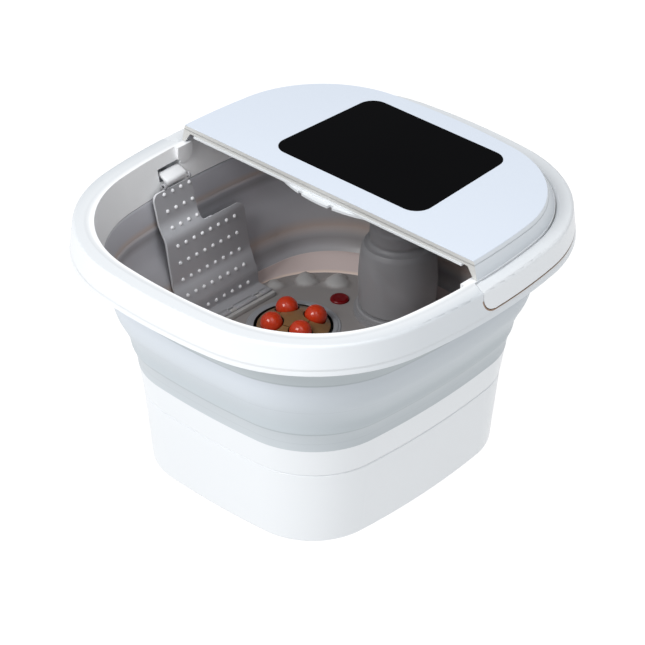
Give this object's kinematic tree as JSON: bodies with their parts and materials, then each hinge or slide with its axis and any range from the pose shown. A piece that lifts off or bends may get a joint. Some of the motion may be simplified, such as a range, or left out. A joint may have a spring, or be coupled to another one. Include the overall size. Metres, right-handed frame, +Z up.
{
  "type": "foot spa basin",
  "caption": "Collapsible electric foot bath: rigid base, folding rubber wall, rim with carrying handle, half lid with control glass, massage rollers and side support plates.",
  "frame": {"origin": "on the ground, under the middle of the basin", "axes": "+Z up; +Y from the open front half to the half lid; +X to the right seen from the front"},
  "size_m": [0.4078, 0.4434, 0.2813],
  "materials": {
    "white_gloss": "glossy white with a cool tint",
    "grey_rubber": "satin soft rubber",
    "floor_grey": "satin",
    "seat_grey": "satin",
    "plate_grey": "satin",
    "sleeve_grey": "satin soft rubber",
    "panel_black": "polished black glass",
    "disc_brown": "glossy",
    "ball_red": "glossy",
    "lens_red": "polished",
    "foot_rubber": "matte",
    "steel": "bright",
    "inner_plastic": "matte",
    "gear_plastic": "natural acetal",
    "board_green": "solder mask",
    "black_plastic": "matte"
  },
  "bodies": {
    "base": {"base_skirt": "white_gloss", "bottom_cover": "inner_plastic", "bottom_screws": "steel", "rubber_feet": "foot_rubber", "tub_floor": "floor_grey", "folding_wall": "grey_rubber", "left_roller_seat": "seat_grey", "right_roller_seat": "seat_grey", "left_lamp_lens": "lens_red", "right_lamp_lens": "lens_red", "lamp_boards": "board_green", "shaft_bushes": "black_plastic", "gear_frame": "inner_plastic", "frame_screws": "steel", "motor": "steel", "heater": "steel", "thermostat": "black_plastic", "power_board": "board_green", "mains_inlet": "black_plastic", "column_flange": "sleeve_grey", "column_sleeve": "sleeve_grey", "left_hinge_pin": "steel", "right_hinge_pin": "steel"},
    "rim": {"rim_frame": "white_gloss", "rim_clamp_ring": "white_gloss", "rim_screws": "steel", "lid_cover": "white_gloss", "lid_tray": "white_gloss", "lid_screws": "steel", "control_glass": "panel_black", "display_module": "black_plastic", "control_board": "board_green", "column_cap": "inner_plastic", "handle_pins": "steel"},
    "handle": {"carrying_handle": "white_gloss"},
    "left_plate": {"left_support_plate": "plate_grey", "left_latch_pin": "steel"},
    "left_latch": {"left_latch_tab": "white_gloss"},
    "left_roller": {"left_roller_disc": "disc_brown", "left_ball_retainer": "disc_brown", "left_roller_shaft": "steel", "left_roller_gear": "gear_plastic"},
    "left_ball_1": {"left_ball_1": "ball_red"},
    "left_ball_2": {"left_ball_2": "ball_red"},
    "left_ball_3": {"left_ball_3": "ball_red"},
    "left_ball_4": {"left_ball_4": "ball_red"},
    "right_plate": {"right_support_plate": "plate_grey", "right_latch_pin": "steel"},
    "right_latch": {"right_latch_tab": "white_gloss"},
    "right_roller": {"right_roller_disc": "disc_brown", "right_ball_retainer": "disc_brown", "right_roller_shaft": "steel", "right_roller_gear": "gear_plastic"},
    "right_ball_1": {"right_ball_1": "ball_red"},
    "right_ball_2": {"right_ball_2": "ball_red"},
    "right_ball_3": {"right_ball_3": "ball_red"},
    "right_ball_4": {"right_ball_4": "ball_red"},
    "pinion": {"drive_pinion": "gear_plastic", "motor_shaft": "steel"}
  },
  "joints": [
    {"name": "rim_collapse", "type": "slide", "parent": "base", "child": "rim", "axis": [0, 0, 1], "range_m": [-0.072, 0], "deforming": ["folding_wall", "column_sleeve"]},
    {"name": "handle_swing", "type": "hinge", "parent": "rim", "child": "handle", "pos_m": [0, 0.002, 0.256], "axis": [1, 0, 0], "range_deg": [0, 92]},
    {"name": "left_plate_fold", "type": "hinge", "parent": "base", "child": "left_plate", "pos_m": [-0.112, 0, 0.104], "axis": [0, 1, 0], "range_deg": [0, 88]},
    {"name": "left_latch_flip", "type": "hinge", "parent": "left_plate", "child": "left_latch", "pos_m": [-0.166, -0.026, 0.236], "axis": [0, 1, 0], "range_deg": [0, 30], "stiffness_Nm_per_rad": 0.05, "springref_deg": -11.46},
    {"name": "right_plate_fold", "type": "hinge", "parent": "base", "child": "right_plate", "pos_m": [0.112, 0, 0.104], "axis": [0, -1, 0], "range_deg": [0, 70]},
    {"name": "right_latch_flip", "type": "hinge", "parent": "right_plate", "child": "right_latch", "pos_m": [0.166, -0.026, 0.236], "axis": [0, -1, 0], "range_deg": [0, 30], "stiffness_Nm_per_rad": 0.05, "springref_deg": -11.46},
    {"name": "left_roller_spin", "type": "hinge", "parent": "base", "child": "left_roller", "pos_m": [-0.055, 0.018, 0.1], "axis": [0, 0, 1], "continuous": true},
    {"name": "right_roller_spin", "type": "hinge", "parent": "base", "child": "right_roller", "pos_m": [0.055, 0.018, 0.1], "axis": [0, 0, 1], "continuous": true},
    {"name": "pinion_spin", "type": "hinge", "parent": "base", "child": "pinion", "pos_m": [0, 0.018, 0.078], "axis": [0, 0, 1], "continuous": true},
    {"name": "left_ball_1_roll", "type": "hinge", "parent": "left_roller", "child": "left_ball_1", "pos_m": [-0.03577, 0.0069, 0.1077], "axis": [0.866, -0.5, 0], "continuous": true},
    {"name": "left_ball_2_roll", "type": "hinge", "parent": "left_roller", "child": "left_ball_2", "pos_m": [-0.0439, 0.03723, 0.1077], "axis": [0.5, 0.866, 0], "continuous": true},
    {"name": "left_ball_3_roll", "type": "hinge", "parent": "left_roller", "child": "left_ball_3", "pos_m": [-0.07423, 0.0291, 0.1077], "axis": [-0.866, 0.5, 0], "continuous": true},
    {"name": "left_ball_4_roll", "type": "hinge", "parent": "left_roller", "child": "left_ball_4", "pos_m": [-0.0661, -0.00123, 0.1077], "axis": [-0.5, -0.866, 0], "continuous": true},
    {"name": "right_ball_1_roll", "type": "hinge", "parent": "right_roller", "child": "right_ball_1", "pos_m": [0.03577, 0.0069, 0.1077], "axis": [-0.866, -0.5, 0], "continuous": true},
    {"name": "right_ball_2_roll", "type": "hinge", "parent": "right_roller", "child": "right_ball_2", "pos_m": [0.0439, 0.03723, 0.1077], "axis": [-0.5, 0.866, 0], "continuous": true},
    {"name": "right_ball_3_roll", "type": "hinge", "parent": "right_roller", "child": "right_ball_3", "pos_m": [0.07423, 0.0291, 0.1077], "axis": [0.866, 0.5, 0], "continuous": true},
    {"name": "right_ball_4_roll", "type": "hinge", "parent": "right_roller", "child": "right_ball_4", "pos_m": [0.0661, -0.00123, 0.1077], "axis": [0.5, -0.866, 0], "continuous": true}
  ],
  "couplings": [
    {"joint": "left_plate_fold", "follows": "rim_collapse", "rad_per_m": -21.331},
    {"joint": "right_plate_fold", "follows": "rim_collapse", "rad_per_m": -16.968},
    {"joint": "right_roller_spin", "follows": "left_roller_spin", "ratio": 1},
    {"joint": "pinion_spin", "follows": "left_roller_spin", "ratio": -4.5}
  ]
}
